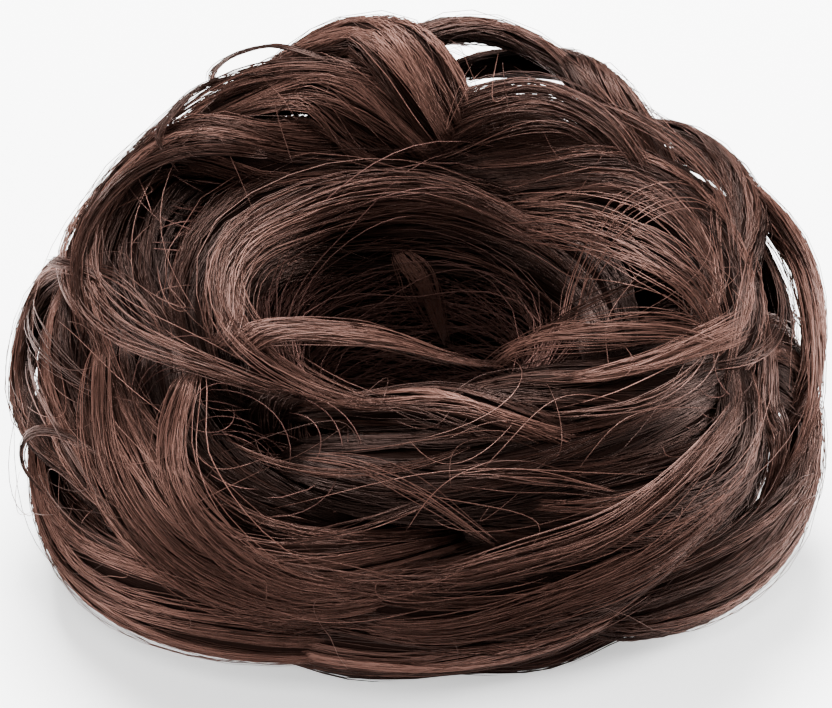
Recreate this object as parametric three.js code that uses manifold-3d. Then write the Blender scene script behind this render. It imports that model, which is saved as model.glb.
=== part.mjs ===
// Top knot hairpiece: locks of synthetic hair looped round an elastic band, worn over the wearer's own bun.
// Millimetres, +Z up. The origin is on the table under the middle of the piece, and the viewer stands at -Y.
//
// Places are given round the ring of hair. Bearing is the angle about Z from +X. Around is the angle about
// the tube of the ring: 0 outermost, 90 on top, 180 facing the hole. Lift is the distance out from the tube.
import * as THREE from "three";
import { mergeVertices } from "three/addons/utils/BufferGeometryUtils.js";
import Module from "manifold-3d";

const wasm = await Module();
wasm.setup();

// Overall sizes of the resting piece
const bunWidth = 150;
const bunDepth = 130;
const backHeight = 80;
const frontHeight = 51;
const widestHeight = 20;

// The hole for the wearer's own bun, and the elastic band in its wall
const holeWidth = 46;
const holeDepth = 38;
const bandThickness = 5;
const bandHeight = 9;
const bandProud = 1.2;

// A plain lock, and the ridges and foot of the inner hair
const lockWidth = 14;
const lockThickness = 8;
const lockTip = 2;
const ridgeDepth = 3;
const footDepth = 4;

// Gaps between the solids: the least one, and the one that the facets of a lock need over the inner hair
const clearance = 0.3;
const facetGap = 0.9;

// Colours of the fibre and the band
const hairColour = 0x54392f;
const innerColour = 0x2a1a16;
const bandColour = 0x17130f;

// The inner hair has one ridge for each bundle that loops through the band. They lean as they go over.
const ridgeCount = 10;
const ridgeLean = 30;

// Hollows between the locks. Depth is a share of lockThickness, and reach is the half size in degrees.
const hollows = [
  { bearing: 153, around: 92, depth: 2.1, bearingReach: 24, aroundReach: 36 },
  { bearing: 118, around: 104, depth: 1.0, bearingReach: 22, aroundReach: 24 },
  { bearing: 234, around: 58, depth: 1.9, bearingReach: 26, aroundReach: 36 },
  { bearing: 8, around: 108, depth: 1.4, bearingReach: 40, aroundReach: 36 },
  { bearing: 335, around: 54, depth: 0.7, bearingReach: 14, aroundReach: 20 },
];

// The locks that lie on the inner hair, the uppermost first, because each is trimmed round those before it.
// Wide and thick are shares of lockWidth and lockThickness, and rise is a share of lockThickness that the
// middle of the lock stands above the layer. Each stop on its way is [bearing, around].
const locks = [
  { name: "crown_high", wide: 1.2, thick: 0.9, rise: 0.7, stops: [[130, 54], [118, 77], [103, 83], [87, 102], [68, 122]] },
  { name: "crown_wide", wide: 2.0, thick: 1.0, rise: 0.15, stops: [[158, 46], [143, 73], [120, 87], [100, 106], [72, 128]] },
  { name: "left_curl", wide: 1.1, thick: 0.9, rise: 0.25, stops: [[106, 120], [144, 106], [158, 76], [179, 58], [206, 50]] },
  { name: "back_high_loop", wide: 0.7, thick: 0.7, rise: 0.8, stops: [[102, 84], [86, 82], [62, 78], [32, 84]] },
  { name: "back_right_loop", wide: 0.8, thick: 0.8, rise: 0.6, stops: [[86, 66], [62, 68], [36, 84], [2, 84]] },
  { name: "right_loop_outer", wide: 0.8, thick: 0.7, rise: 0.9, stops: [[34, 62], [16, 50], [4, 32], [348, 14]] },
  { name: "right_loop_high", wide: 0.7, thick: 0.7, rise: 0.7, stops: [[42, 66], [24, 56], [350, 66]] },
  { name: "left_loop", wide: 0.6, thick: 0.7, rise: 0.4, stops: [[184, 68], [171, 36], [182, 14], [216, 22]] },
  { name: "front_cross", wide: 0.8, thick: 0.7, rise: 0.3, stops: [[236, 94], [268, 96], [292, 76], [316, 44]] },
  { name: "right_sweep", wide: 1.5, thick: 1.0, rise: 0.15, stops: [[84, 130], [38, 114], [10, 86], [350, 62], [332, 60]] },
  { name: "middle_arch", wide: 1.4, thick: 1.0, rise: 0, stops: [[330, 100], [10, 130], [70, 140], [128, 134], [180, 112], [220, 86]] },
  { name: "front_tongue", wide: 1.2, thick: 0.9, rise: 0.15, stops: [[278, 46], [302, 33], [328, 30], [346, 54]] },
  { name: "front_high", wide: 1.2, thick: 0.9, rise: 0, stops: [[350, 52], [318, 74], [286, 100], [236, 98]] },
  { name: "front_mid", wide: 1.3, thick: 0.9, rise: 0, stops: [[344, 48], [308, 58], [272, 62], [240, 64]] },
  { name: "left_bowl", wide: 1.5, thick: 1.0, rise: 0, stops: [[190, 62], [214, 36], [242, 15], [280, 30]] },
  { name: "left_side", wide: 1.3, thick: 0.9, rise: 0, stops: [[168, 50], [194, 38], [216, 12]] },
  { name: "front_low", wide: 1.3, thick: 0.9, rise: 0, stops: [[256, 8], [290, 14], [326, 14]] },
  { name: "rim_right", wide: 1.6, thick: 1.0, rise: 0.1, stops: [[346, 52], [358, 12], [336, -8], [302, -10]] },
  { name: "rim_front", wide: 1.1, thick: 0.8, rise: -0.3, stops: [[314, -4], [284, -6], [256, -8], [230, -10]] },
  { name: "rim_left", wide: 1.5, thick: 0.9, rise: 0.1, stops: [[176, 16], [202, -4], [230, -6], [262, -6]] },
  { name: "right_outer_side", wide: 1.2, thick: 0.9, rise: 0, stops: [[32, 60], [14, 36], [4, 0]] },
  { name: "left_curl_inner", wide: 1.0, thick: 0.7, rise: -0.4, stops: [[128, 118], [157, 84], [186, 74], [214, 86]] },
  { name: "left_bowl_inner", wide: 0.9, thick: 0.7, rise: -0.4, stops: [[202, 78], [226, 48], [264, 34]] },
  { name: "back_bowl", wide: 1.6, thick: 0.9, rise: 0.1, stops: [[56, 56], [82, 34], [112, 28], [146, 48]] },
  { name: "back_sweep_left", wide: 1.4, thick: 0.9, rise: 0, stops: [[172, 34], [154, 20], [130, 6], [100, 4]] },
  { name: "back_sweep_right", wide: 1.4, thick: 0.9, rise: 0, stops: [[10, -6], [30, 10], [50, 28], [66, 50]] },
  { name: "rim_back_left", wide: 1.4, thick: 0.8, rise: -0.1, stops: [[180, -8], [158, -8], [136, -12], [108, -14]] },
  { name: "rim_back_right", wide: 1.4, thick: 0.8, rise: -0.1, stops: [[108, -10], [84, -2], [60, -8], [34, -14]] },
];

// Facets
const ringSteps = 4 * ridgeCount;
const tubeSides = 12;
const bandSteps = 24;
const bandSides = 8;
const lockStep = 8.5;
const lockSides = 8;

const radians = THREE.MathUtils.degToRad;

function ovalRadius(width, depth, bearing) {
  const angle = radians(bearing);
  return 1 / Math.hypot(Math.cos(angle) / (width / 2), Math.sin(angle) / (depth / 2));
}

// Round the ring, the tube has its own radius from Z, half width, and height above its widest place
function tubeAt(bearing) {
  const layer = clearance + lockThickness;
  const outer = ovalRadius(bunWidth - 2 * layer, bunDepth - 2 * layer, bearing);
  const inner = ovalRadius(holeWidth, holeDepth, bearing);
  const backShare = (1 + Math.sin(radians(bearing))) / 2;
  const top = THREE.MathUtils.lerp(frontHeight, backHeight, backShare) - layer;
  return { radius: (outer + inner) / 2, half: (outer - inner) / 2, above: top - widestHeight };
}

// The upper half of the tube is an ellipse. The lower half is squarer, as hair that has settled on its foot.
function place(bearing, around, lift) {
  const tube = tubeAt(bearing);
  const cos = Math.cos(radians(around));
  const sin = Math.sin(radians(around));
  const height = sin < 0 ? widestHeight + footDepth : tube.above;
  const power = sin < 0 ? 2 / 3 : 1;
  const out = new THREE.Vector2(cos / tube.half, sin / height).normalize();
  const reach = tube.radius + tube.half * Math.sign(cos) * Math.abs(cos) ** power + out.x * lift;
  const z = widestHeight + height * Math.sign(sin) * Math.abs(sin) ** power + out.y * lift;
  const angle = radians(bearing);
  return new THREE.Vector3(reach * Math.cos(angle), reach * Math.sin(angle), z);
}

function degreesApart(a, b) {
  return Math.abs(((((a - b) % 360) + 540) % 360) - 180);
}

// How far the inner hair lies below the tube, in the valleys between its ridges and in the hollows. The
// ridges are pressed flat underneath.
function sunk(bearing, around) {
  const ridge = (bearing + (ridgeLean * around) / 180) * ridgeCount;
  const pressed = Math.max(0, -Math.sin(radians(around))) ** 2;
  let depth = (ridgeDepth * (1 - pressed) * (1 - Math.cos(radians(ridge)))) / 2;
  for (const hollow of hollows) {
    const away = Math.hypot(
      degreesApart(bearing, hollow.bearing) / hollow.bearingReach,
      degreesApart(around, hollow.around) / hollow.aroundReach,
    );
    depth += away < 1 ? hollow.depth * lockThickness * Math.cos((away * Math.PI) / 2) ** 2 : 0;
  }
  return depth;
}

function keepAbove(point, floor) {
  point.z = Math.max(point.z, floor);
  return point;
}

// A closed skin over sections with as many points each, joined into a ring or capped at both ends
function skin(sections, isRing) {
  const count = sections[0].length;
  const positions = sections.flat().flatMap((point) => point.toArray());
  const rows = isRing ? sections.length : sections.length - 1;
  const index = [];
  for (let row = 0; row < rows; row++) {
    const here = row * count;
    const next = ((row + 1) % sections.length) * count;
    for (let i = 0; i < count; i++) {
      const j = (i + 1) % count;
      index.push(here + i, here + j, next + j, here + i, next + j, next + i);
    }
  }
  for (let i = 1; i < count - 1 && !isRing; i++) {
    const end = rows * count;
    index.push(0, i + 1, i, end, end + i, end + i + 1);
  }
  const geometry = new THREE.BufferGeometry();
  geometry.setAttribute("position", new THREE.Float32BufferAttribute(positions, 3));
  geometry.setIndex(index);
  return geometry;
}

function toSolid(geometry) {
  const merged = mergeVertices(geometry);
  const vertProperties = merged.attributes.position.array;
  const triVerts = new Uint32Array(merged.index.array);
  return new wasm.Manifold(new wasm.Mesh({ numProp: 3, vertProperties, triVerts }));
}

function toGeometry(solid) {
  const mesh = solid.getMesh();
  const geometry = new THREE.BufferGeometry();
  geometry.setAttribute("position", new THREE.BufferAttribute(new Float32Array(mesh.vertProperties), 3));
  geometry.setIndex(new THREE.BufferAttribute(new Uint32Array(mesh.triVerts), 1));
  const faceted = geometry.toNonIndexed();
  faceted.computeVertexNormals();
  return faceted;
}

// What is left of a solid beside its neighbours: the largest body, since the rest would be loose crumbs
function trimmed(solid, neighbours) {
  const left = neighbours.reduce((rest, neighbour) => rest.subtract(neighbour), solid);
  return left.decompose().sort((a, b) => b.volume() - a.volume())[0];
}

// Elastic band: an oval loop of covered elastic that lies in the wall of the hole
function elasticBand(grow) {
  const radius = bandThickness / 2 + grow;
  const sections = [];
  for (let step = 0; step < bandSteps; step++) {
    const bearing = (step * 360) / bandSteps;
    const angle = radians(bearing);
    const middle = ovalRadius(holeWidth, holeDepth, bearing) + bandThickness / 2 - bandProud;
    const section = [];
    for (let side = 0; side < bandSides; side++) {
      const turn = ((side + 0.5) * -2 * Math.PI) / bandSides;
      const reach = middle + radius * Math.cos(turn);
      const z = bandHeight + radius * Math.sin(turn);
      section.push(new THREE.Vector3(reach * Math.cos(angle), reach * Math.sin(angle), z));
    }
    sections.push(section);
  }
  return toSolid(skin(sections, true));
}

// Inner hair: the dense ring of looped bundles, flat underneath where it rests, grooved for the band
function innerHair(grow) {
  const sections = [];
  for (let step = 0; step < ringSteps; step++) {
    const bearing = (step * 360) / ringSteps;
    const section = [];
    for (let side = 0; side < tubeSides; side++) {
      const around = 270 - (side * 360) / tubeSides;
      section.push(keepAbove(place(bearing, around, grow - sunk(bearing, around)), -grow));
    }
    sections.push(section);
  }
  return toSolid(skin(sections, true)).subtract(elasticBand(clearance));
}

// The way of a lock in bearing and around, which passes 360 degrees without a jump
function wayOf(lock) {
  const stops = [];
  for (const [bearing, around] of lock.stops) {
    const before = stops.length ? stops.at(-1).x : bearing;
    stops.push(new THREE.Vector2(bearing - 360 * Math.round((bearing - before) / 360), around));
  }
  return new THREE.SplineCurve(stops);
}

// The directions of a lock at one share of its way: per degree of bearing and around, ahead and across
function directionsAt(way, share, lift) {
  const at = way.getPoint(share);
  const along = way.getTangent(share);
  const here = place(at.x, at.y, lift);
  const perBearing = place(at.x + 1, at.y, lift).sub(here);
  const perAround = place(at.x, at.y + 1, lift).sub(here);
  const ahead = perBearing.clone().multiplyScalar(along.x).addScaledVector(perAround, along.y).normalize();
  const out = new THREE.Vector3().crossVectors(perBearing, perAround);
  const across = new THREE.Vector3().crossVectors(out, ahead).normalize();
  return { at, here, ahead, perBearing, perAround, across };
}

// One lock: a flattened bundle laid along its stops, full in the middle and drawn down at both ends
function lockOfHair(lock, grow) {
  const way = wayOf(lock);
  const layerMiddle = clearance + lockThickness / 2;
  let length = 0;
  for (let share = 0.1; share < 1.05; share += 0.1) {
    const start = directionsAt(way, share - 0.1, layerMiddle).here;
    length += directionsAt(way, Math.min(share, 1), layerMiddle).here.distanceTo(start);
  }
  const steps = Math.ceil(length / lockStep);
  const sections = [];
  for (let step = 0; step <= steps; step++) {
    const share = step / steps;
    const fullness = Math.sin(Math.PI * (0.06 + 0.88 * share)) ** 0.6;
    const middle = layerMiddle + lockThickness * (lock.rise * fullness - (1 - fullness));
    const { at, ahead, perBearing, perAround, across } = directionsAt(way, share, middle);
    const halfWide = (lockWidth * lock.wide * fullness) / 2;
    const halfThick = (lockThickness * lock.thick * fullness) / 2;
    const bearingAcross = across.dot(perBearing) / perBearing.lengthSq();
    const aroundAcross = across.dot(perAround) / perAround.lengthSq();
    const pastEnd = step === 0 ? -grow : step === steps ? grow : 0;
    const section = [];
    for (let side = 0; side < lockSides; side++) {
      const turn = (side * 2 * Math.PI) / lockSides;
      const out = halfWide * Math.cos(turn);
      const floor = facetGap - sunk(at.x + out * bearingAcross, at.y + out * aroundAcross);
      const low = Math.max(middle - halfThick, floor);
      const high = Math.max(middle + halfThick, low + lockTip);
      const wide = out + grow * Math.cos(turn);
      const lift = (low + high) / 2 + ((high - low) / 2 + grow) * Math.sin(turn);
      const point = place(at.x + wide * bearingAcross, at.y + wide * aroundAcross, lift);
      section.push(keepAbove(point.addScaledVector(ahead, pastEnd), clearance - grow));
    }
    sections.push(section);
  }
  return toSolid(skin(sections, false));
}

const hairFibre = new THREE.MeshStandardMaterial({ color: hairColour, roughness: 0.45, metalness: 0 });
const innerFibre = new THREE.MeshStandardMaterial({ color: innerColour, roughness: 0.6, metalness: 0 });
const coveredElastic = new THREE.MeshStandardMaterial({ color: bandColour, roughness: 0.8, metalness: 0 });

const hairpiece = new THREE.Group();

function addPiece(name, solid, material) {
  const mesh = new THREE.Mesh(toGeometry(solid), material);
  mesh.name = name;
  hairpiece.add(mesh);
}

addPiece("elastic_band", elasticBand(0), coveredElastic);
addPiece("inner_hair", innerHair(0), innerFibre);

const neighbours = [innerHair(clearance)];
for (const lock of locks) {
  addPiece(`lock_${lock.name}`, trimmed(lockOfHair(lock, 0), neighbours), hairFibre);
  neighbours.push(lockOfHair(lock, clearance));
}

// The origin goes under the middle of the piece, on the surface that it rests on
const box = new THREE.Box3().setFromObject(hairpiece);
const middle = box.getCenter(new THREE.Vector3());
hairpiece.position.set(-middle.x, -middle.y, -box.min.z);

export default hairpiece;
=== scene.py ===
import math

import bpy
import numpy as np
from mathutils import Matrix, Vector


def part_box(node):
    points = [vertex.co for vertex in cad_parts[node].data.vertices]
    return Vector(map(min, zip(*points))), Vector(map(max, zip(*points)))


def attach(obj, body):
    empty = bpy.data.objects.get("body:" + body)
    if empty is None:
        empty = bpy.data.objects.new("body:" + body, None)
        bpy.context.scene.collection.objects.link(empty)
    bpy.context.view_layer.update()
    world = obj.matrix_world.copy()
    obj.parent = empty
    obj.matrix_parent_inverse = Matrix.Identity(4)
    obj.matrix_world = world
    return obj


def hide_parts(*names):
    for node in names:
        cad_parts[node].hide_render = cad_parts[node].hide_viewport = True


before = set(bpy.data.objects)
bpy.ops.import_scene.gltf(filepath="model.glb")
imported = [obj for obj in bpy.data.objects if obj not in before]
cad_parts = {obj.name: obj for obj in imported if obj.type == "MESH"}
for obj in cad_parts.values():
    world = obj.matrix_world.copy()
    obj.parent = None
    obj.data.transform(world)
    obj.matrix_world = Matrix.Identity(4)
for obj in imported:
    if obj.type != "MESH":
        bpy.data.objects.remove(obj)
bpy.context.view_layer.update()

bpy.ops.object.select_all(action="DESELECT")


# The studio
# A plain white floor under a white sky, with a strong softbox above and behind, a weak one in front to
# lift the shade, and one at each side for the edges.
floor_size = 6.0
floor_drop = 0.0002
bpy.ops.mesh.primitive_plane_add(size=floor_size, location=(0, 0, -floor_drop))
studio_floor = bpy.context.object
studio_floor.name = "studio_floor"

floor_paint = bpy.data.materials.new("floor_paint")
floor_paint.use_nodes = True
floor_shader = floor_paint.node_tree.nodes["Principled BSDF"]
floor_shader.inputs["Base Color"].default_value = (0.95, 0.95, 0.95, 1)
floor_shader.inputs["Roughness"].default_value = 0.9
floor_shader.inputs["Specular IOR Level"].default_value = 0.1
floor_shader.inputs["Emission Color"].default_value = (1, 1, 1, 1)
floor_shader.inputs["Emission Strength"].default_value = 0.7
studio_floor.data.materials.append(floor_paint)

studio_air = bpy.data.worlds.new("studio_air")
studio_air.use_nodes = True
studio_air.node_tree.nodes["Background"].inputs["Color"].default_value = (1.0, 1.0, 1.0, 1)
studio_air.node_tree.nodes["Background"].inputs["Strength"].default_value = 0.3
bpy.context.scene.world = studio_air

# The middle of the hairpiece as the photo frames it
look_at = Vector((0, 0, 0.0366))

# Each stands at a place in metres, turned to the hairpiece
softboxes = [
    {"name": "top_light", "at": (-0.1, 0.5, 0.9), "side": 0.5, "watts": 72},
    {"name": "front_light", "at": (-0.15, -0.6, 0.95), "side": 0.4, "watts": 8},
    {"name": "left_light", "at": (-0.85, -0.3, 0.25), "side": 0.4, "watts": 14},
    {"name": "right_light", "at": (0.85, 0.1, 0.35), "side": 0.4, "watts": 30},
]
for softbox in softboxes:
    bpy.ops.object.light_add(type="AREA", location=softbox["at"])
    lamp = bpy.context.object
    lamp.name = softbox["name"]
    lamp.data.size = softbox["side"]
    lamp.data.energy = softbox["watts"]
    lamp.rotation_euler = (look_at - Vector(softbox["at"])).to_track_quat("-Z", "Y").to_euler()

# The photo's view: from above the front, with a long lens
camera_height_deg = 33
camera_away = 0.7
focal_length_mm = 164
camera_rise = math.radians(camera_height_deg)
camera_back = Vector((0, -math.cos(camera_rise), math.sin(camera_rise)))
bpy.ops.object.camera_add(location=look_at + camera_back * camera_away)
photo_camera = bpy.context.object
photo_camera.name = "photo_camera"
photo_camera.rotation_euler = (-camera_back).to_track_quat("-Z", "Y").to_euler()
photo_camera.data.lens = focal_length_mm
photo_camera.data.sensor_width = 36
photo_camera.data.dof.use_dof = False
bpy.context.scene.camera = photo_camera


# Elastic band
# The covered elastic that the hair is knotted on: rubber cores in a braided nylon sleeve, sewn into an
# oval loop that lies in the wall of the hole.
band_low, band_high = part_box("elastic_band")
ring_axis = np.array([(band_low.x + band_high.x) / 2, (band_low.y + band_high.y) / 2, 0.0])
band_thickness = 0.005
band_strands = 44
band_twists = 3
braid_middle = 0.93
braid_relief = 0.04
long_half = (band_high.x - band_low.x - band_thickness) / 2
short_half = (band_high.y - band_low.y - band_thickness) / 2
bpy.ops.mesh.primitive_torus_add(
    major_segments=220,
    minor_segments=24,
    major_radius=long_half,
    minor_radius=band_thickness / 2,
)
elastic_sleeve = bpy.context.object
elastic_sleeve.name = "elastic_sleeve"
for vertex in elastic_sleeve.data.vertices:
    turn = math.atan2(vertex.co.y, vertex.co.x)
    outwards = math.hypot(vertex.co.x, vertex.co.y) - long_half
    minor = math.atan2(vertex.co.z, outwards)
    weave = math.sin(minor * band_twists * 2 + turn * band_strands) * math.sin(
        minor * band_twists * 2 - turn * band_strands
    )
    shrink = braid_middle + braid_relief * weave
    oval = 1 / math.hypot(math.cos(turn) / long_half, math.sin(turn) / short_half)
    reach = oval + outwards * shrink
    vertex.co = (
        reach * math.cos(turn) + ring_axis[0],
        reach * math.sin(turn) + ring_axis[1],
        vertex.co.z * shrink + (band_low.z + band_high.z) / 2,
    )
bpy.ops.object.shade_smooth()

sleeve_braid = bpy.data.materials.new("sleeve_braid")
sleeve_braid.use_nodes = True
tree = sleeve_braid.node_tree
shader = tree.nodes["Principled BSDF"]
shader.inputs["Sheen Weight"].default_value = 0.3
where = tree.nodes.new("ShaderNodeTexCoord")
threads = tree.nodes.new("ShaderNodeTexNoise")
threads.inputs["Scale"].default_value = 2400
threads.inputs["Detail"].default_value = 3
tree.links.new(where.outputs["Object"], threads.inputs["Vector"])
tint = tree.nodes.new("ShaderNodeValToRGB")
tint.color_ramp.elements[0].color = (0.004, 0.003, 0.003, 1)
tint.color_ramp.elements[1].color = (0.022, 0.017, 0.014, 1)
tree.links.new(threads.outputs["Fac"], tint.inputs["Fac"])
tree.links.new(tint.outputs["Color"], shader.inputs["Base Color"])
rough = tree.nodes.new("ShaderNodeMapRange")
rough.inputs["To Min"].default_value = 0.65
rough.inputs["To Max"].default_value = 0.9
tree.links.new(threads.outputs["Fac"], rough.inputs["Value"])
tree.links.new(rough.outputs["Result"], shader.inputs["Roughness"])
elastic_sleeve.data.materials.append(sleeve_braid)
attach(elastic_sleeve, "root")
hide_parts("elastic_band")


# Inner hair
# The dense ring of bundles that loop through the band, seen in the hollows and between the locks. Each
# bundle is a ridge. Its fibre is the locks' dark chocolate brown, painted darker as the shade it lies in.
bun_width = 0.150
bun_depth = 0.130
back_height = 0.080
front_height = 0.051
widest_height = 0.020
foot_depth = 0.004
hole_width = 0.046
hole_depth = 0.038
clearance = 0.0003
lock_width = 0.014
lock_thickness = 0.008
ridge_count = 10
ridge_lean = 30
ridge_depth = 0.003
body_inset = 0.0006
inner_fibre = 0.00026
above_floor = 0.0003

# Bearing and around of each hollow's middle, its depth as a share of lock_thickness, and its two reaches
hollows = [
    {"bearing": 153, "around": 92, "depth": 2.1, "bearing_reach": 24, "around_reach": 36},
    {"bearing": 118, "around": 104, "depth": 1.0, "bearing_reach": 22, "around_reach": 24},
    {"bearing": 234, "around": 58, "depth": 1.9, "bearing_reach": 26, "around_reach": 36},
    {"bearing": 8, "around": 108, "depth": 1.4, "bearing_reach": 40, "around_reach": 36},
    {"bearing": 335, "around": 54, "depth": 0.7, "bearing_reach": 14, "around_reach": 20},
]


def oval_radius(width, depth, turn):
    """The radius of an oval at an angle in radians."""
    return 1 / np.hypot(np.cos(turn) / (width / 2), np.sin(turn) / (depth / 2))


def place(bearing, around, lift):
    """Points from bearing and around in degrees, and from the lift off the tube of the ring."""
    turn = np.radians(bearing)
    cos = np.cos(np.radians(around))
    sin = np.sin(np.radians(around))
    layer = clearance + lock_thickness
    outer = oval_radius(bun_width - 2 * layer, bun_depth - 2 * layer, turn)
    inner = oval_radius(hole_width, hole_depth, turn)
    half = (outer - inner) / 2
    top = front_height + (back_height - front_height) * (1 + np.sin(turn)) / 2 - layer
    height = np.where(sin < 0, widest_height + foot_depth, top - widest_height)
    power = np.where(sin < 0, 2 / 3, 1.0)
    slope = np.hypot(cos / half, sin / height)
    reach = (outer + inner) / 2 + half * np.sign(cos) * np.abs(cos) ** power + cos / half / slope * lift
    rise = widest_height + height * np.sign(sin) * np.abs(sin) ** power + sin / height / slope * lift
    return np.stack([reach * np.cos(turn), reach * np.sin(turn), rise], -1) + ring_axis


def degrees_apart(a, b):
    """The angle between two bearings, from 0 to 180."""
    return np.abs((a - b + 540) % 360 - 180)


def valley(bearing, around):
    """How deep the valleys between the ridges of the inner hair are."""
    ridge = np.radians((bearing + ridge_lean * around / 180) * ridge_count)
    pressed = np.maximum(0, -np.sin(np.radians(around))) ** 2
    return ridge_depth * (1 - pressed) * (1 - np.cos(ridge)) / 2


def sunk(bearing, around):
    """How far the inner hair lies below the tube, in its valleys and hollows."""
    depth = valley(bearing, around)
    for hollow in hollows:
        away = np.hypot(
            degrees_apart(bearing, hollow["bearing"]) / hollow["bearing_reach"],
            degrees_apart(around, hollow["around"]) / hollow["around_reach"],
        )
        deep = hollow["depth"] * lock_thickness * np.cos(np.minimum(away, 1) * np.pi / 2) ** 2
        depth = depth + deep
    return depth


def quad_sheet(first, rows, columns, closes):
    """The corner numbers of the faces of a grid of points, whose rows may close on themselves."""
    row = np.arange(rows - 1)[:, None]
    column = np.arange(columns if closes else columns - 1)[None, :]
    after = (column + 1) % columns
    corners = [row * columns + column, row * columns + after, (row + 1) * columns + after]
    corners.append((row + 1) * columns + column)
    return first + np.stack(corners, -1).reshape(-1, 4)


def mesh_piece(name, parts):
    """One smooth mesh from parts, each with its points, quads, triangles, flow and material."""
    mesh = bpy.data.meshes.new(name)
    corners = []
    sizes = []
    slots = []
    first = 0
    for part in parts:
        if part["material"].name not in mesh.materials:
            mesh.materials.append(part["material"])
        slot = mesh.materials.find(part["material"].name)
        for faces in (part["quads"], part["triangles"]):
            corners.append((faces + first).ravel())
            sizes.append(np.full(len(faces), faces.shape[1]))
            slots.append(np.full(len(faces), slot))
        first += len(part["points"])
    corners = np.concatenate(corners)
    sizes = np.concatenate(sizes)
    mesh.vertices.add(first)
    points = np.concatenate([part["points"] for part in parts]).astype(np.float32)
    mesh.vertices.foreach_set("co", points.ravel())
    mesh.loops.add(len(corners))
    mesh.loops.foreach_set("vertex_index", corners.astype(np.int32))
    mesh.polygons.add(len(sizes))
    mesh.polygons.foreach_set("loop_start", (np.cumsum(sizes) - sizes).astype(np.int32))
    mesh.polygons.foreach_set("material_index", np.concatenate(slots).astype(np.int32))
    mesh.polygons.foreach_set("use_smooth", np.ones(len(sizes), bool))
    mesh.update(calc_edges=True)
    layer = mesh.attributes.new("flow", "FLOAT_VECTOR", "POINT")
    flow = np.concatenate([part["flow"] for part in parts]).astype(np.float32)
    layer.data.foreach_set("vector", flow.ravel())
    mesh.validate()
    piece = bpy.data.objects.new(name, mesh)
    bpy.context.collection.objects.link(piece)
    return piece


fibre_sides = 3
# A direction that few fibres follow, to set their sides by
fibre_guide = np.array([0.31, 0.17, 0.93])
fibre_tip = 0.2
tip_growth = 5
# The waves of fibres start anywhere in a turn, in radians
full_turn = 6.3


def fibres(paths, thickness, round_at, along, tone, material):
    """Thin fibres along n paths of m points, with where each lies in its lock and its tone."""
    count, stops, _ = paths.shape
    ahead = np.gradient(paths, axis=1)
    ahead = ahead / np.linalg.norm(ahead, axis=-1, keepdims=True)
    side = np.cross(ahead, fibre_guide)
    side = side / np.linalg.norm(side, axis=-1, keepdims=True)
    up = np.cross(ahead, side)
    ends = np.linspace(0, 1, stops)
    taper = np.minimum(1, fibre_tip + tip_growth * np.minimum(ends, 1 - ends))
    radius = (thickness * taper + np.zeros((count, 1)))[..., None] / 2
    rings = []
    for corner in range(fibre_sides):
        turn = corner * 2 * np.pi / fibre_sides
        rings.append(paths + (side * np.cos(turn) + up * np.sin(turn)) * radius)
    firsts = np.arange(count)[:, None] * stops * fibre_sides
    last = (stops - 1) * fibre_sides
    one = quad_sheet(0, stops, fibre_sides, True)
    blank = np.zeros((count, stops))
    flow = np.stack([round_at + blank, along + blank, tone + blank], -1)
    return {
        "points": np.stack(rings, 2).reshape(-1, 3),
        "quads": (one[None] + firsts[:, None]).reshape(-1, 4),
        "triangles": np.concatenate([firsts + [[0, 2, 1]], firsts + last + [[0, 1, 2]]]),
        "flow": np.repeat(flow.reshape(-1, 3), fibre_sides, axis=0),
        "material": material,
    }


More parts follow.
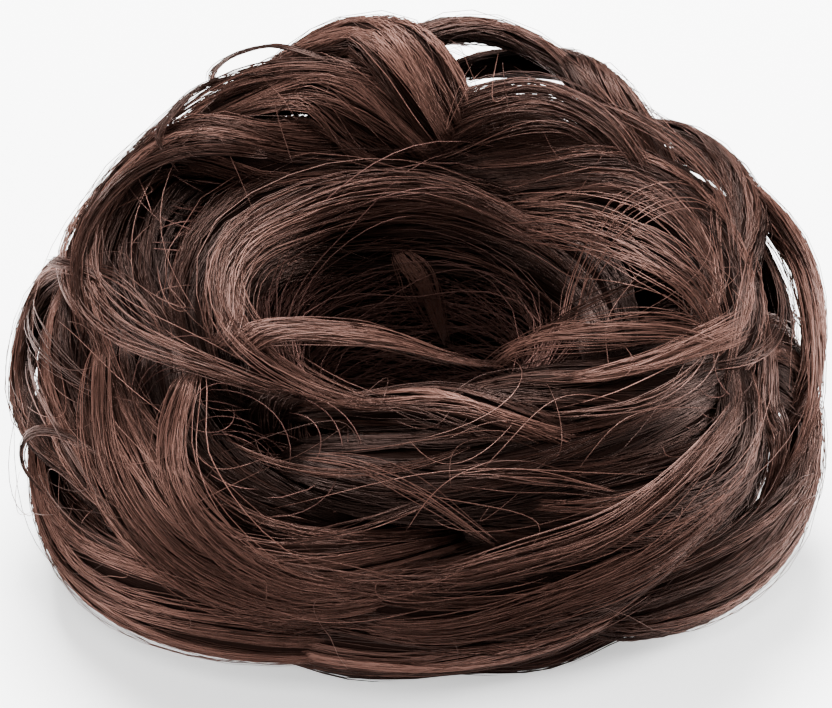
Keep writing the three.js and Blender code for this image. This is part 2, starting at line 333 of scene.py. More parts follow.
def fibre_colours():
    """The node group colouring fibre by its tone, with painted light and shade, and by streaks along it."""
    group = bpy.data.node_groups.new("fibre_colours", "ShaderNodeTree")
    for name, kind in [("Deep", "Color"), ("Middle", "Color"), ("Bright", "Color"), ("Streaks", "Float"),
                       ("Dullness", "Float")]:
        group.interface.new_socket(name, in_out="INPUT", socket_type="NodeSocket" + kind)
    for name, kind in [("Color", "Color"), ("Roughness", "Float"), ("Height", "Float")]:
        group.interface.new_socket(name, in_out="OUTPUT", socket_type="NodeSocket" + kind)
    nodes = group.nodes
    links = group.links
    given = nodes.new("NodeGroupInput")
    result = nodes.new("NodeGroupOutput")
    flow = nodes.new("ShaderNodeAttribute")
    flow.attribute_name = "flow"
    parts = nodes.new("ShaderNodeSeparateXYZ")
    links.new(flow.outputs["Vector"], parts.inputs["Vector"])
    stretch = nodes.new("ShaderNodeVectorMath")
    stretch.operation = "MULTIPLY"
    stretch.inputs[1].default_value = (9.0, 1.6, 3.0)
    links.new(flow.outputs["Vector"], stretch.inputs[0])
    streak = nodes.new("ShaderNodeTexNoise")
    streak.inputs["Detail"].default_value = 4
    links.new(stretch.outputs["Vector"], streak.inputs["Vector"])
    links.new(given.outputs["Streaks"], streak.inputs["Scale"])
    shift = nodes.new("ShaderNodeMath")
    shift.operation = "SUBTRACT"
    shift.inputs[1].default_value = 0.5
    links.new(streak.outputs["Fac"], shift.inputs[0])
    add = nodes.new("ShaderNodeMath")
    add.operation = "MULTIPLY_ADD"
    add.inputs[1].default_value = 0.5
    add.use_clamp = True
    links.new(shift.outputs["Value"], add.inputs[0])
    links.new(parts.outputs["Z"], add.inputs[2])
    lower = nodes.new("ShaderNodeMapRange")
    lower.inputs["From Max"].default_value = 0.5
    links.new(add.outputs["Value"], lower.inputs["Value"])
    upper = nodes.new("ShaderNodeMapRange")
    upper.inputs["From Min"].default_value = 0.5
    links.new(add.outputs["Value"], upper.inputs["Value"])
    dark_mix = nodes.new("ShaderNodeMix")
    dark_mix.data_type = "RGBA"
    links.new(lower.outputs["Result"], dark_mix.inputs["Factor"])
    links.new(given.outputs["Deep"], dark_mix.inputs["A"])
    links.new(given.outputs["Middle"], dark_mix.inputs["B"])
    light_mix = nodes.new("ShaderNodeMix")
    light_mix.data_type = "RGBA"
    links.new(upper.outputs["Result"], light_mix.inputs["Factor"])
    links.new(dark_mix.outputs["Result"], light_mix.inputs["A"])
    links.new(given.outputs["Bright"], light_mix.inputs["B"])
    links.new(light_mix.outputs["Result"], result.inputs["Color"])
    rough = nodes.new("ShaderNodeMapRange")
    rough.inputs["To Min"].default_value = 0.4
    rough.inputs["To Max"].default_value = 0.24
    links.new(streak.outputs["Fac"], rough.inputs["Value"])
    dull = nodes.new("ShaderNodeMath")
    dull.operation = "ADD"
    links.new(rough.outputs["Result"], dull.inputs[0])
    links.new(given.outputs["Dullness"], dull.inputs[1])
    links.new(dull.outputs["Value"], result.inputs["Roughness"])
    links.new(streak.outputs["Fac"], result.inputs["Height"])
    return group


fibre_colour_group = fibre_colours()


def fibre_material(name, deep, middle, bright, gloss, dullness, streaks, relief):
    """Synthetic hair fibre: glossy along its length, a little lighter or darker from fibre to fibre."""
    material = bpy.data.materials.new(name)
    material.use_nodes = True
    nodes = material.node_tree.nodes
    links = material.node_tree.links
    shader = nodes["Principled BSDF"]
    shader.inputs["Specular IOR Level"].default_value = gloss
    # a fibre has a second highlight in its own colour, which the metallic share gives
    shader.inputs["Metallic"].default_value = 0.35
    shader.inputs["Specular Tint"].default_value = (1.0, 0.6, 0.5, 1)
    colours = nodes.new("ShaderNodeGroup")
    colours.node_tree = fibre_colour_group
    colours.inputs["Deep"].default_value = (*deep, 1)
    colours.inputs["Middle"].default_value = (*middle, 1)
    colours.inputs["Bright"].default_value = (*bright, 1)
    colours.inputs["Streaks"].default_value = streaks
    colours.inputs["Dullness"].default_value = dullness
    bump = nodes.new("ShaderNodeBump")
    bump.inputs["Strength"].default_value = 0.8
    bump.inputs["Distance"].default_value = relief
    links.new(colours.outputs["Color"], shader.inputs["Base Color"])
    links.new(colours.outputs["Roughness"], shader.inputs["Roughness"])
    links.new(colours.outputs["Height"], bump.inputs["Height"])
    links.new(bump.outputs["Normal"], shader.inputs["Normal"])
    return material


# painted shade: the dark fibre of the lock cores and the inner ring, coloured as the shade between fibres
packed_fibre_painted_shade = fibre_material(
    "packed_fibre_painted_shade",
    deep=(0.002, 0.0008, 0.0006),
    middle=(0.007, 0.0028, 0.002),
    bright=(0.03, 0.013, 0.01),
    gloss=0.05,
    dullness=0.5,
    streaks=3.0,
    relief=0.0008,
)
# painted shade: the locks' fibre a little darker, for the inner hair and the hollows in shade
shaded_fibre = fibre_material(
    "shaded_fibre",
    deep=(0.002, 0.0009, 0.0007),
    middle=(0.011, 0.0045, 0.0034),
    bright=(0.085, 0.041, 0.034),
    gloss=0.15,
    dullness=0.05,
    streaks=1.0,
    relief=0.0001,
)

inner_rows = 160
inner_columns = 60
chance = np.random.default_rng(5)
bearings = np.linspace(0, 360, inner_rows, endpoint=False)[:, None] + np.zeros((1, inner_columns))
arounds = 270 - np.linspace(0, 360, inner_columns, endpoint=False)[None, :] + np.zeros((inner_rows, 1))
inner_points = place(bearings, arounds, -body_inset - sunk(bearings, arounds))
inner_points[..., 2] = np.maximum(inner_points[..., 2], 0)
inner_quads = quad_sheet(0, inner_rows + 1, inner_columns, True) % (inner_rows * inner_columns)
# painted shade: the inner ring's surface takes a low tone for the shade it lies in
inner_painted_shade_tone = 0.2
across_ridges = (bearings + ridge_lean * arounds / 180) / 6
inner_flow = np.stack([across_ridges, arounds / 90, bearings * 0 + inner_painted_shade_tone], -1)
inner_body = {
    "points": inner_points.reshape(-1, 3),
    "quads": inner_quads,
    "triangles": np.zeros((0, 3), int),
    "flow": inner_flow.reshape(-1, 3),
    "material": packed_fibre_painted_shade,
}

# Fibres that arch over the ring along its ridges
count = 620
ends = np.linspace(0, 1, 11)[None, :]
start_bearing = chance.uniform(0, 360, (count, 1))
start_around = chance.uniform(-25, 70, (count, 1))
around = start_around + chance.uniform(70, 130, (count, 1)) * ends
wave = 2.0 * np.sin(ends * 7 + chance.uniform(0, full_turn, (count, 1)))
bearing = start_bearing - ridge_lean * around / 180 + chance.normal(0, 5, (count, 1)) * ends + wave
lift = np.abs(chance.normal(0, 0.0006, (count, 1))) - sunk(bearing, around)
paths = place(bearing, around, lift)
paths[..., 2] = np.maximum(paths[..., 2], above_floor)
# painted shade: the inner fibres take a lower tone than the locks' fibres
tone = chance.normal(0.3, 0.12, (count, 1))
inner_fibres = fibres(paths, inner_fibre, start_bearing, start_around + ends, tone, shaded_fibre)

# Fibres that wrap the rim, down to lowest_around
count = 260
lowest_around = -44
start_bearing = chance.uniform(0, 360, (count, 1))
bearing = start_bearing + chance.uniform(30, 60, (count, 1)) * ends
around = chance.uniform(lowest_around, 0, (count, 1)) + chance.normal(0, 8, (count, 1)) * ends
around = around + 3 * np.sin(ends * 7 + chance.uniform(0, full_turn, (count, 1)))
around = np.maximum(around, lowest_around)
lift = np.abs(chance.normal(0, 0.0004, (count, 1))) - 0.0004 - sunk(bearing, around)
paths = place(bearing, around, lift)
paths[..., 2] = np.maximum(paths[..., 2], above_floor)
tone = chance.normal(0.5, 0.12, (count, 1))
rim_fibres = fibres(paths, inner_fibre, around / 20, ends * 4, tone, shaded_fibre)
inner_bundles = mesh_piece("inner_bundles", [inner_body, inner_fibres, rim_fibres])
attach(inner_bundles, "root")
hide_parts("inner_hair")


# Crown locks
# The tallest locks, at the back: wavy synthetic fibre that sweeps up from the left, over the top and down
# to the middle, where many locks meet. Each is a core of packed fibre, painted dark as shade, under several
# hundred loose ones.
hair_fibre = fibre_material(
    "hair_fibre",
    deep=(0.0022, 0.001, 0.0008),
    middle=(0.0125, 0.0046, 0.0031),
    bright=(0.09, 0.043, 0.033),
    gloss=0.26,
    dullness=0.03,
    streaks=1.0,
    relief=0.0001,
)
lock_tip = 0.002
facet_gap = 0.0003
fibre_thickness = 0.00023
fibres_per_width = 19
fibre_step = 0.0075
core_rows = 36
core_columns = 24
core_fill = 0.76
loose_fill = 1.05
end_share = 0.03


def way_at(stops, share):
    """Values of a smooth curve through stops that start with a bearing, at shares of it, and their change."""
    points = np.array(stops, float)
    points[:, 0] = np.unwrap(points[:, 0], period=360)
    last = len(points) - 1
    spot = np.clip(share * last, 0, last)
    piece = np.minimum(spot.astype(int), last - 1)
    t = (share * last - piece)[:, None]
    before = points[np.maximum(piece - 1, 0)]
    start = points[piece]
    end = points[piece + 1]
    after = points[np.minimum(piece + 2, last)]
    leave = (end - before) / 2
    arrive = (after - start) / 2
    cubic = 2 * start - 2 * end + leave + arrive
    square = -3 * start + 3 * end - 2 * leave - arrive
    at = cubic * t**3 + square * t**2 + leave * t + start
    change = 3 * cubic * t**2 + 2 * square * t + leave
    return at, change


def lock_lanes(lock, share):
    """At shares of a lock: bearing, around, middle lift, half sizes, and turns for a metre across."""
    at, change = way_at(lock["stops"], share)
    # a lock is full along its middle, and slims and sinks towards both ends
    inside = np.clip(share, 0, 1)
    fullness = np.sin(np.pi * (0.06 + 0.88 * inside)) ** 0.6
    middle = clearance + lock_thickness / 2 + lock_thickness * (lock["rise"] * fullness - (1 - fullness))
    here = place(at[:, 0], at[:, 1], middle)
    per_bearing = place(at[:, 0] + 1, at[:, 1], middle) - here
    per_around = place(at[:, 0], at[:, 1] + 1, middle) - here
    ahead = per_bearing * change[:, :1] + per_around * change[:, 1:]
    out = np.cross(per_bearing, per_around)
    across = np.cross(out, ahead)
    across = across / np.linalg.norm(across, axis=-1, keepdims=True)
    return {
        "bearing": at[:, 0],
        "around": at[:, 1],
        "middle": middle,
        "half_wide": lock_width * lock["wide"] * fullness / 2,
        "half_thick": lock_thickness * lock["thick"] * fullness / 2,
        "bearing_across": (across * per_bearing).sum(-1) / (per_bearing**2).sum(-1),
        "around_across": (across * per_around).sum(-1) / (per_around**2).sum(-1),
    }


def in_lock(lanes, share, angle, fill):
    """Points in a lock: angle goes round its section, and fill is 0 at its middle, 1 at its surface."""
    known = np.linspace(-0.1, 1.1, len(lanes["bearing"]))
    lane = {name: np.interp(share, known, values) for name, values in lanes.items()}
    # at its ends the fibres spread out and dive into the ring
    beyond = np.maximum(0, np.abs(share - 0.5) - 0.46)
    across = lane["half_wide"] * fill * np.cos(angle) * (1 + 6 * beyond)
    bearing = lane["bearing"] + across * lane["bearing_across"]
    around = lane["around"] + across * lane["around_across"]
    low = np.maximum(lane["middle"] - lane["half_thick"], facet_gap - sunk(bearing, around))
    high = np.maximum(lane["middle"] + lane["half_thick"], low + lock_tip)
    lift = (low + high) / 2 + (high - low) / 2 * fill * np.sin(angle) - 0.03 * beyond
    points = place(bearing, around, lift)
    points[..., 2] = np.maximum(points[..., 2], fibre_thickness)
    return points


def lock_of_hair(lock, seed):
    """One lock: a core of packed fibre painted dark as shade, clumps of loose fibres over it, and strays."""
    chance = np.random.default_rng(seed)
    lanes = lock_lanes(lock, np.linspace(-0.1, 1.1, 90))

    share = np.linspace(end_share, 1 - end_share, core_rows)[:, None]
    angle = np.linspace(0, 2 * np.pi, core_columns, endpoint=False)[None, :]
    slim = np.minimum(1, 0.3 + 7 * np.minimum(share - end_share, 1 - end_share - share))
    groove_depth = 0.04
    grooved = (core_fill + groove_depth * np.sin(angle * 7 + share * 4)) * slim
    core = in_lock(lanes, share + angle * 0, angle + share * 0, grooved)
    fan = np.arange(1, core_columns - 1)
    last = (core_rows - 1) * core_columns
    start_fan = np.stack([0 * fan, fan + 1, fan], -1)
    end_fan = np.stack([0 * fan + last, fan + last, fan + 1 + last], -1)
    # painted shade: the core takes a low tone, as the shade between the loose fibres
    core_flow = np.stack([angle + share * 0, share * 4 + angle * 0, angle * 0 + share * 0 + 0.15], -1)
    core_part = {
        "points": core.reshape(-1, 3),
        "quads": quad_sheet(0, core_rows, core_columns, True),
        "triangles": np.concatenate([start_fan, end_fan]),
        "flow": core_flow.reshape(-1, 3),
        "material": packed_fibre_painted_shade,
    }

    # fibres are spread evenly over the section's edge, and thinner on the side that faces inwards
    turns = np.linspace(0, 2 * np.pi, 361)
    edge = np.hypot(lanes["half_wide"].max() * np.sin(turns), lanes["half_thick"].max() * np.cos(turns))
    edge = np.cumsum(edge * np.where(np.sin(turns) > -0.3, 1, 0.15))
    edge = (edge - edge[0]) / (edge[-1] - edge[0])
    length = np.linalg.norm(np.diff(in_lock(lanes, np.linspace(0, 1, 60), 0, 0), axis=0), axis=-1).sum()
    stops = int(np.clip(round(length / fibre_step), 7, 24)) + 1
    count = int(fibres_per_width * lock_width * lock["wide"] * 1000 * lock.get("dense", 1))
    # fibres keep to clumps that sway together along the lock, and each fibre sways a little by itself
    clumps = 6 + round(6 * lock["wide"])
    own = chance.integers(0, clumps, count)
    clump_at = (np.arange(clumps) + chance.uniform(-0.3, 0.3, clumps)) / clumps
    begin = chance.uniform(-0.08, 0.1, (count, 1))
    finish = chance.uniform(0.9, 1.08, (count, 1))
    share = begin + (finish - begin) * np.linspace(0, 1, stops)[None, :]
    off_middle = chance.normal(0, 0.5, (count, 1))
    clump_sway = np.sin(8 * share + chance.uniform(0, full_turn, clumps)[own][:, None])
    own_sway = np.sin(chance.uniform(4, 9, (count, 1)) * share + chance.uniform(0, full_turn, (count, 1)))
    edge_at = clump_at[own][:, None] + (0.45 * off_middle + 0.85 * clump_sway + 0.45 * own_sway) / clumps
    angle = np.interp(edge_at % 1, edge, turns)
    depth = 0.16 * off_middle**2 + chance.uniform(0, 0.08, (count, 1))
    depth = depth + chance.uniform(0, 0.14, clumps)[own][:, None]
    depth = depth + 0.05 * np.sin(5 * share + chance.uniform(0, full_turn, clumps)[own][:, None])
    fill = np.maximum(loose_fill - depth, core_fill)
    stray = chance.uniform(0, 1, (count, 1)) < lock.get("stray", 0.08)
    swing = chance.uniform(0.05, 0.4, (count, 1)) * np.sin(np.pi * (share - begin) / (finish - begin))
    turned = angle + stray * chance.normal(0, 0.5, (count, 1)) * share
    paths = in_lock(lanes, share, turned, fill + stray * swing)
    thick = fibre_thickness * chance.uniform(0.8, 1.2, (count, 1)) * np.where(stray, 0.65, 1)
    clump_tone = chance.normal(0, 0.15, clumps)[own][:, None]
    # painted shade: a lock's deep fibres, flanks and tucked-under ends are darker than its crest
    painted_light_and_shade = lock.get("painted_light_and_shade", (0, 0))
    tone = 0.62 + clump_tone + chance.normal(0, 0.07, (count, 1)) + 2.4 * (fill - 0.96)
    tone = tone - 0.4 * np.abs(np.cos(angle)) ** 4
    tone = tone - 0.35 * (1 - np.sin(np.pi * np.clip(share, 0, 1))) ** 2
    # painted light and shade: each lock lighter or darker at start and end, for how light falls there
    tone = tone + painted_light_and_shade[0] * (1 - share) + painted_light_and_shade[1] * share
    tone = tone + 0.25 * (chance.uniform(0, 1, (count, 1)) < 0.05)
    loose = fibres(paths, thick, angle, share * 4, tone, hair_fibre)
    piece = mesh_piece("hair_" + lock["name"], [core_part, loose])
    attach(piece, "root")
    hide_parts("lock_" + lock["name"])
    return piece


# Painted light and shade lightens or darkens the start and the end for how light falls, wide is a share
# of lock_width, thick and rise are shares of lock_thickness, and each stop is (bearing, around)
crown_locks = [
    {"name": "crown_high", "painted_light_and_shade": (0.3, 0.25), "wide": 1.2, "thick": 0.9, "rise": 0.7,
     "stops": [(130, 54), (118, 77), (103, 83), (87, 102), (68, 122)]},
    {"name": "crown_wide", "painted_light_and_shade": (0.2, 0.3), "wide": 2.0, "thick": 1.0, "rise": 0.15,
     "stops": [(158, 46), (143, 73), (120, 87), (100, 106), (72, 128)]},
]
for number, lock in enumerate(crown_locks):
    lock_of_hair(lock, 100 + number)


# Left locks
# A curl that opens to the left round a dark hollow, a loose loop outside it, and the bowl below it that
# turns towards the front.
left_locks = [
    {"name": "left_curl", "wide": 1.1, "thick": 0.9, "rise": 0.25,
     "stops": [(106, 120), (144, 106), (158, 76), (179, 58), (206, 50)]},
    {"name": "left_loop", "wide": 0.6, "thick": 0.7, "rise": 0.4,
     "stops": [(184, 68), (171, 36), (182, 14), (216, 22)]},
    {"name": "left_bowl", "painted_light_and_shade": (0, 0.3), "wide": 1.5, "thick": 1.0, "rise": 0,
     "stops": [(190, 62), (214, 36), (242, 15), (280, 30)]},
    {"name": "left_side", "wide": 1.3, "thick": 0.9, "rise": 0,
     "stops": [(168, 50), (194, 38), (216, 12)]},
    {"name": "left_curl_inner", "painted_light_and_shade": (-0.6, -0.5), "wide": 1.0, "thick": 0.7, "rise": -0.4,
     "stops": [(128, 118), (157, 84), (186, 74), (214, 86)]},
    {"name": "left_bowl_inner", "painted_light_and_shade": (-0.55, -0.5), "wide": 0.9, "thick": 0.7, "rise": -0.4,
     "stops": [(202, 78), (226, 48), (264, 34)]},
]
for number, lock in enumerate(left_locks):
    lock_of_hair(lock, 200 + number)


# Middle arch
# The long lock that arches over the hole, from the right round the back to the left.
middle_arch = {"name": "middle_arch", "painted_light_and_shade": (-0.2, -0.08), "wide": 1.4, "thick": 1.0, "rise": 0,
               "stops": [(330, 100), (10, 130), (70, 140), (128, 134), (180, 112), (220, 86)]}
lock_of_hair(middle_arch, 300)


# Front locks
# Broad bands that cross the front, one over the other, and fall towards the rim.
front_locks = [
    {"name": "front_cross", "painted_light_and_shade": (0, -0.1), "wide": 0.8, "thick": 0.7, "rise": 0.3,
     "stops": [(236, 94), (268, 96), (292, 76), (316, 44)]},
    {"name": "front_tongue", "painted_light_and_shade": (-0.3, -0.2), "wide": 1.2, "thick": 0.9, "rise": 0.15,
     "stops": [(278, 46), (302, 33), (328, 30), (346, 54)]},
    {"name": "front_high", "painted_light_and_shade": (-0.35, -0.3), "wide": 1.2, "thick": 0.9, "rise": 0,
     "stops": [(350, 52), (318, 74), (286, 100), (236, 98)]},
    {"name": "front_mid", "painted_light_and_shade": (-0.35, -0.55), "wide": 1.3, "thick": 0.9, "rise": 0,
     "stops": [(344, 48), (308, 58), (272, 62), (240, 64)]},
    {"name": "front_low", "painted_light_and_shade": (0, -0.1), "wide": 1.3, "thick": 0.9, "rise": 0,
     "stops": [(256, 8), (290, 14), (326, 14)]},
]
for number, lock in enumerate(front_locks):
    lock_of_hair(lock, 400 + number)


# Right locks
# The broad sweep from the middle to the right, and the loops outside it that light shows through.
right_locks = [
    {"name": "right_sweep", "painted_light_and_shade": (-0.15, -0.15), "wide": 1.5, "thick": 1.0, "rise": 0.15,
     "stops": [(84, 130), (38, 114), (10, 86), (350, 62), (332, 60)]},
    {"name": "right_loop_outer", "painted_light_and_shade": (0.25, 0.3), "wide": 0.8, "thick": 0.7, "rise": 0.9,
     "stops": [(34, 62), (16, 50), (4, 32), (348, 14)]},
    {"name": "right_loop_high", "wide": 0.7, "thick": 0.7, "rise": 0.7,
     "stops": [(42, 66), (24, 56), (350, 66)]},
    {"name": "right_outer_side", "wide": 1.2, "thick": 0.9, "rise": 0,
     "stops": [(32, 60), (14, 36), (4, 0)]},
    {"name": "back_high_loop", "wide": 0.7, "thick": 0.7, "rise": 0.8,
     "stops": [(102, 84), (86, 82), (62, 78), (32, 84)]},
    {"name": "back_right_loop", "wide": 0.8, "thick": 0.8, "rise": 0.6,
     "stops": [(86, 66), (62, 68), (36, 84), (2, 84)]},
]
for number, lock in enumerate(right_locks):
    lock_of_hair(lock, 500 + number)


# Rim and back locks
# The lowest locks, which wrap the ring just above the surface it rests on, and those of the unseen back.
rim_locks = [
    {"name": "rim_right", "painted_light_and_shade": (0.15, -0.1), "wide": 1.6, "thick": 1.0, "rise": 0.1,
     "stops": [(346, 52), (358, 12), (336, -8), (302, -10)]},
    {"name": "rim_front", "wide": 1.1, "thick": 0.8, "rise": -0.3,
     "stops": [(314, -4), (284, -6), (256, -8), (230, -10)]},
    {"name": "rim_left", "painted_light_and_shade": (0.05, 0.35), "wide": 1.5, "thick": 0.9, "rise": 0.1,
     "stops": [(176, 16), (202, -4), (230, -6), (262, -6)]},
    {"name": "back_bowl", "dense": 0.8, "wide": 1.6, "thick": 0.9, "rise": 0.1,
     "stops": [(56, 56), (82, 34), (112, 28), (146, 48)]},
    {"name": "back_sweep_left", "dense": 0.8, "wide": 1.4, "thick": 0.9, "rise": 0,
     "stops": [(172, 34), (154, 20), (130, 6), (100, 4)]},
    {"name": "back_sweep_right", "dense": 0.8, "wide": 1.4, "thick": 0.9, "rise": 0,
     "stops": [(10, -6), (30, 10), (50, 28), (66, 50)]},
    {"name": "rim_back_left", "dense": 0.8, "wide": 1.4, "thick": 0.8, "rise": -0.1,
     "stops": [(180, -8), (158, -8), (136, -12), (108, -14)]},
    {"name": "rim_back_right", "dense": 0.8, "wide": 1.4, "thick": 0.8, "rise": -0.1,
     "stops": [(108, -10), (84, -2), (60, -8), (34, -14)]},
]
for number, lock in enumerate(rim_locks):
    lock_of_hair(lock, 600 + number)


# Hairs in the hollows
# Loose fibres that curl round the dark hollows at the left and the right, and long ones that follow the
# wall of the hole under the arch. They are the same fibre, and spring out of the bundles beside them.
hollow_fibre = 0.0002
above_hollow = 0.003


def hollow_hairs(name, bearing, around, lift, thickness, tone):
    """A piece of loose fibres along paths of bearing, around and lift off the bottom of the hollow."""
    paths = place(bearing, around, lift + valley(bearing, around) - sunk(bearing, around))
    paths[..., 2] = np.maximum(paths[..., 2], above_floor)
    piece = mesh_piece(name, [fibres(paths, thickness, bearing / 6, around / 45, tone, shaded_fibre)])
    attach(piece, "root")
    return piece


def curled_hairs(name, hollow, count, seed):
    """Fibres that go round a hollow, from its bottom up to the locks beside it."""
    chance = np.random.default_rng(seed)
    ends = np.linspace(0, 1, 12)[None, :]
    out = chance.uniform(0.25, 0.9, (count, 1)) * (1 - 0.25 * ends * chance.uniform(0, 1, (count, 1)))
    turn = chance.uniform(0, 2 * np.pi, (count, 1)) + chance.uniform(1.2, 3.2, (count, 1)) * ends
    off_bearing = chance.normal(0, 0.2, (count, 1))
    off_around = chance.normal(0, 0.2, (count, 1))
    bearing = hollow["bearing"] + hollow["bearing_reach"] * (out * np.cos(turn) + off_bearing)
    around = hollow["around"] + hollow["around_reach"] * (out * np.sin(turn) + off_around)
    lift = chance.uniform(0.0002, 0.0025, (count, 1))
    lift = lift + 0.002 * np.sin(np.pi * ends) * chance.uniform(0, 1, (count, 1))
    up_to = sunk(bearing, around) - valley(bearing, around) + above_hollow
    lift = lift + chance.uniform(0, 1, (count, 1)) ** 1.5 * up_to
    tone = chance.normal(0.78, 0.16, (count, 1))
    return hollow_hairs(name, bearing, around, lift, hollow_fibre, tone)


curled_hairs("left_curl_hairs", hollows[0], 160, 701)
curled_hairs("left_pocket_hairs", hollows[2], 70, 702)
curled_hairs("right_pocket_hairs", hollows[4], 60, 703)

chance = np.random.default_rng(704)
count = 360
ends = np.linspace(0, 1, 16)[None, :]
bearing = chance.uniform(140, 210, (count, 1)) - chance.uniform(90, 210, (count, 1)) * ends
around = chance.uniform(122, 205, (count, 1)) + chance.normal(4, 7, (count, 1)) * ends
waves = chance.uniform(4, 9, (count, 1))
around = around + 2 * np.sin(ends * waves + chance.uniform(0, full_turn, (count, 1)))
lift = chance.uniform(0.0002, 0.003, (count, 1)) + 0.002 * np.sin(np.pi * ends)
hollow_hairs("hole_wall_hairs", bearing, around, lift, 0.00021, chance.normal(0.9, 0.2, (count, 1)))


# Loose wisps
# Thin bundles that have slipped out of the locks and cross them: light comes through those at the edges,
# and the tuft at the right ends where its fibres were cut.
wisp_points = 14


def wisp_of_hair(wisp, seed):
    """Fibres along a smooth way of (bearing, around, lift in mm), spread over the wisp's width in mm."""
    chance = np.random.default_rng(seed)
    count = wisp["count"]
    begin = chance.uniform(0, 0.12, (count, 1))
    share = begin + chance.uniform(0.76, 0.88, (count, 1)) * np.linspace(0, 1, wisp_points)
    at, change = way_at(wisp["stops"], share.ravel())
    here = place(at[:, 0], at[:, 1], at[:, 2] / 1000)
    later = at + change / 100
    later = place(later[:, 0], later[:, 1], later[:, 2] / 1000)
    higher = place(at[:, 0], at[:, 1], at[:, 2] / 1000 + 0.001)
    up = (higher - here) / 0.001
    across = np.cross(up, later - here)
    across = across / np.linalg.norm(across, axis=-1, keepdims=True)
    swell = 0.3 + 0.7 * np.sin(np.pi * share * wisp.get("gather", 1))
    spread = wisp["wide"] / 1000 * swell.reshape(-1, 1)
    sideways = chance.normal(0, 0.3, (count, 1))
    sideways = sideways + 0.12 * np.sin(share * 7 + chance.uniform(0, full_turn, (count, 1)))
    upwards = chance.normal(0, 0.1, (count, 1))
    upwards = upwards + 0.05 * np.sin(share * 8 + chance.uniform(0, full_turn, (count, 1)))
    paths = here + across * spread * sideways.reshape(-1, 1) + up * spread * upwards.reshape(-1, 1)
    paths[:, 2] = np.maximum(paths[:, 2], above_floor)
    thick = chance.uniform(0.00014, 0.00022, (count, 1))
    tone = chance.normal(wisp["tone"], 0.15, (count, 1))
    return fibres(paths.reshape(count, -1, 3), thick, sideways * 3, share * 4, tone, hair_fibre)


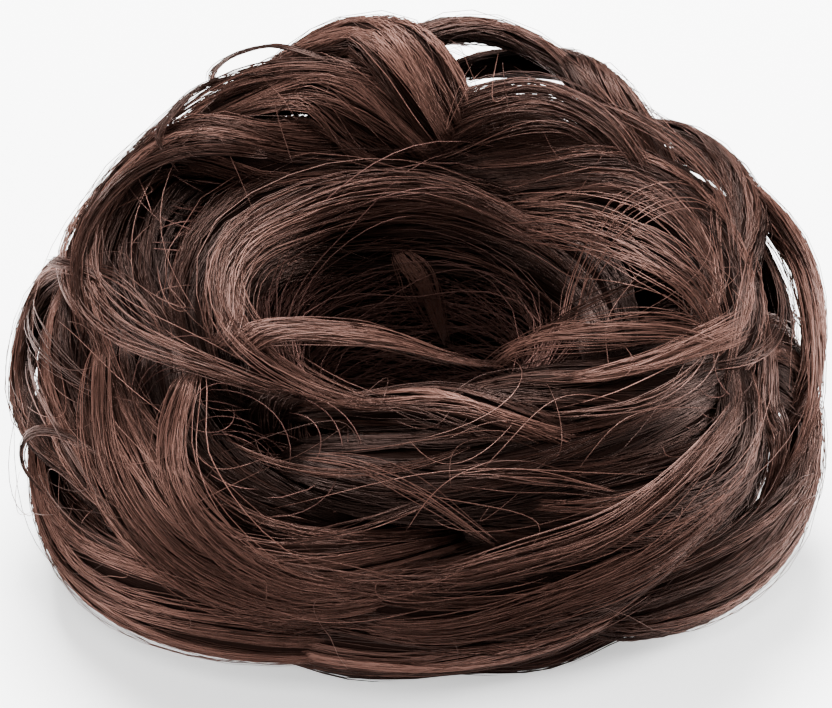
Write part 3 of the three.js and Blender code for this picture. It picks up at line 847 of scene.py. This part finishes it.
# Count is of fibres, wide is in mm, a low gather keeps the far end spread, and each stop is (bearing,
# around, lift in mm)
wisps = [
    {"name": "crown_curl_high", "count": 30, "wide": 2, "tone": 0.35,
     "stops": [(112, 96, 8.5), (121, 87, 11), (125, 76, 12.5), (132, 75, 13), (140, 80, 12),
               (144, 88, 9)]},
    {"name": "crown_curl_low", "count": 30, "wide": 2, "tone": 0.35,
     "stops": [(126, 94, 9), (135, 86, 11), (143, 80, 12), (152, 80, 12), (160, 81, 11), (166, 90, 8)]},
    {"name": "crown_wisp", "count": 40, "wide": 6, "tone": 0.7,
     "stops": [(96, 104, 8), (122, 91, 10), (138, 84, 11), (152, 76, 10), (168, 62, 8)]},
    {"name": "left_edge_wisp", "count": 70, "wide": 4, "tone": 0.45,
     "stops": [(146, 108, 7), (154, 101, 9), (165, 84, 10.5), (174, 71, 10.5), (186, 62, 10),
               (203, 57, 8)]},
    {"name": "left_stub", "count": 40, "wide": 2.2, "tone": 0.4, "gather": 0.5,
     "stops": [(196, 70, 8), (189, 67, 9), (183, 59, 10), (177, 50, 10.5)]},
    {"name": "left_low_curl", "count": 26, "wide": 2, "tone": 0.45,
     "stops": [(218, 34, 8), (206, 31, 9), (199, 22, 10), (199, 12, 10), (208, 10, 8.5)]},
    {"name": "low_left_arc", "count": 50, "wide": 7, "tone": 0.75,
     "stops": [(200, 60, 7), (207, 51, 8.7), (218, 30, 9), (231, 15, 9), (246, 8, 9), (262, 6, 7.5)]},
    {"name": "pocket_arc", "count": 60, "wide": 8, "tone": 0.8,
     "stops": [(218, 74, 6), (222, 64, 8), (228, 42, 8.5), (238, 27, 8.7), (252, 18, 9),
               (268, 18, 7.5)]},
    {"name": "arch_left_wisp", "count": 46, "wide": 7, "tone": 0.65,
     "stops": [(160, 120, 8), (188, 108, 9), (216, 96, 9), (244, 92, 8), (270, 88, 8)]},
    {"name": "left_cross_wisp", "count": 36, "wide": 6, "tone": 0.6,
     "stops": [(166, 70, 6), (184, 62, 8.5), (202, 66, 9), (222, 78, 8), (244, 86, 7)]},
    {"name": "arch_crest_wisp", "count": 120, "wide": 8, "tone": 0.62,
     "stops": [(218, 84, 8), (214, 94, 8.5), (192, 108, 8.8), (160, 124, 8.8), (121, 131, 8.8),
               (75, 133, 8.8), (30, 131, 8.8), (352, 121, 8)]},
    {"name": "arch_curl", "count": 110, "wide": 9, "tone": 0.72,
     "stops": [(222, 86, 7.5), (222, 98, 10), (232, 108, 13), (252, 113, 15), (276, 116, 13),
               (306, 114, 7)]},
    {"name": "centre_wisp", "count": 50, "wide": 4.5, "tone": 1.2,
     "stops": [(104, 146, 7), (97, 149, 8.5), (84, 153, 10), (70, 160, 10), (58, 168, 9)]},
    {"name": "cut_tuft", "count": 60, "wide": 5, "tone": 0.95, "gather": 0.5,
     "stops": [(308, 84, 8), (320, 75, 8.5), (330, 68, 9.5), (342, 59, 11)]},
    {"name": "back_loop_wisp", "count": 100, "wide": 5, "tone": 0.5,
     "stops": [(94, 114, 2), (87, 111, 5), (70, 104, 7), (53, 96, 9), (36, 93, 10), (20, 92, 10),
               (4, 90, 7)]},
    {"name": "back_under_wisp", "count": 150, "wide": 7, "tone": 0.45,
     "stops": [(96, 124, 2), (84, 120, 4), (65, 110, 7), (47, 101, 8.5), (31, 96, 8.5), (9, 94, 6)]},
    {"name": "top_right_wisp", "count": 24, "wide": 5, "tone": 0.5,
     "stops": [(48, 94, 7), (37, 89, 9.5), (25, 84, 11), (13, 78, 12), (2, 72, 11.5), (350, 66, 8)]},
    {"name": "right_edge_wisp", "count": 50, "wide": 6, "tone": 0.8,
     "stops": [(28, 58, 7), (18, 51, 9.5), (8, 41, 11), (356, 34, 11), (345, 22, 10), (334, 12, 7.5)]},
    {"name": "right_gap_wisp", "count": 150, "wide": 6, "tone": 0.5,
     "stops": [(356, 46, 4), (342, 34, 5), (341, 24, 5.5), (338, 14, 5.5), (330, 2, 5)]},
    {"name": "right_fan_high", "count": 60, "wide": 14, "tone": 0.8,
     "stops": [(336, 60, 8), (342, 74, 9.2), (349, 92, 9.2), (2, 110, 9), (22, 125, 8.5), (50, 136, 7)]},
    {"name": "right_fan_low", "count": 40, "wide": 10, "tone": 0.85,
     "stops": [(338, 60, 8), (332, 74, 9.4), (322, 92, 9.4), (314, 112, 9), (306, 134, 7)]},
    {"name": "right_arc_wisp", "count": 12, "wide": 8, "tone": 0.9,
     "stops": [(322, 112, 4), (345, 114, 8), (0, 102, 10), (6, 84, 9.5), (4, 64, 8)]},
    {"name": "front_wave_wisp", "count": 60, "wide": 6, "tone": 0.7,
     "stops": [(268, 20, 7.5), (284, 26, 9), (300, 30, 9.4), (316, 38, 9.4), (334, 46, 8)]},
    {"name": "front_rim_wisp", "count": 60, "wide": 6, "tone": 0.6,
     "stops": [(262, 3, 7.5), (275, 4, 9), (292, 11, 9.4), (308, 16, 9.4), (332, 26, 8)]},
]
for number, wisp in enumerate(wisps):
    piece = mesh_piece(wisp["name"], [wisp_of_hair(wisp, 900 + number)])
    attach(piece, "root")

# Small wisps that leave the locks at slight angles all round
chance = np.random.default_rng(940)
small_wisps = []
for number in range(30):
    bearing = chance.uniform(0, 360)
    around = chance.uniform(14, 84)
    turn = chance.choice([-1, 1]) * chance.uniform(9, 17)
    climb = chance.normal(0, 7)
    bend = chance.normal(0, 5)
    stops = [
        (bearing, around, 7),
        (bearing + turn, around + climb + bend, 8.6),
        (bearing + 2 * turn, around + 2 * climb + bend, 8.8),
        (bearing + 3 * turn, around + 3 * climb, 7),
    ]
    row = {"count": 10, "wide": chance.uniform(2, 5), "tone": chance.normal(0.6, 0.12), "stops": stops}
    small_wisps.append(wisp_of_hair(row, 1000 + number))
small_wisp_piece = mesh_piece("small_wisps", small_wisps)
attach(small_wisp_piece, "root")


# Arcs in the hole
# Springy fibres, worked loose from the arch, that follow it round inside the hole and stand a little off
# the wall.
chance = np.random.default_rng(950)
count = 100
ends = np.linspace(0, 1, 16)[None, :]
bearing = chance.uniform(190, 250, (count, 1)) - chance.uniform(150, 290, (count, 1)) * ends
around = chance.uniform(122, 178, (count, 1)) + chance.normal(-8, 10, (count, 1)) * ends
around = around + chance.normal(8, 9, (count, 1)) * np.sin(np.pi * ends)
lift = 0.001 + chance.uniform(0.001, 0.011, (count, 1)) * np.sin(np.pi * ends)
hollow_hairs("hole_arc_hairs", bearing, around, lift, hollow_fibre, chance.normal(0.8, 0.2, (count, 1)))


# Flyaway hairs
# Single fibres that have worked loose and lie over the locks at all angles. They are finer than the rest,
# because each is seen alone.
chance = np.random.default_rng(801)
count = 260
ends = np.linspace(0, 1, 14)[None, :]
bearing = chance.uniform(0, 360, (count, 1)) + chance.normal(0, 26, (count, 1)) * ends
bearing = bearing + chance.normal(0, 6, (count, 1)) * np.sin(np.pi * ends)
around = chance.uniform(0, 95, (count, 1)) + chance.normal(0, 14, (count, 1)) * ends
around = around + chance.normal(0, 9, (count, 1)) * np.sin(np.pi * ends)
lift = 0.0083 + chance.uniform(0, 0.0016, (count, 1)) * np.sin(np.pi * ends)
paths = place(bearing, around, lift)
paths[..., 2] = np.maximum(paths[..., 2], above_floor)
thick = chance.uniform(0.0001, 0.00016, (count, 1))
tone = chance.normal(0.7, 0.15, (count, 1))
flyaway = fibres(paths, thick, bearing / 6, ends * 4, tone, hair_fibre)
flyaway_hairs = mesh_piece("flyaway_hairs", [flyaway])
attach(flyaway_hairs, "root")
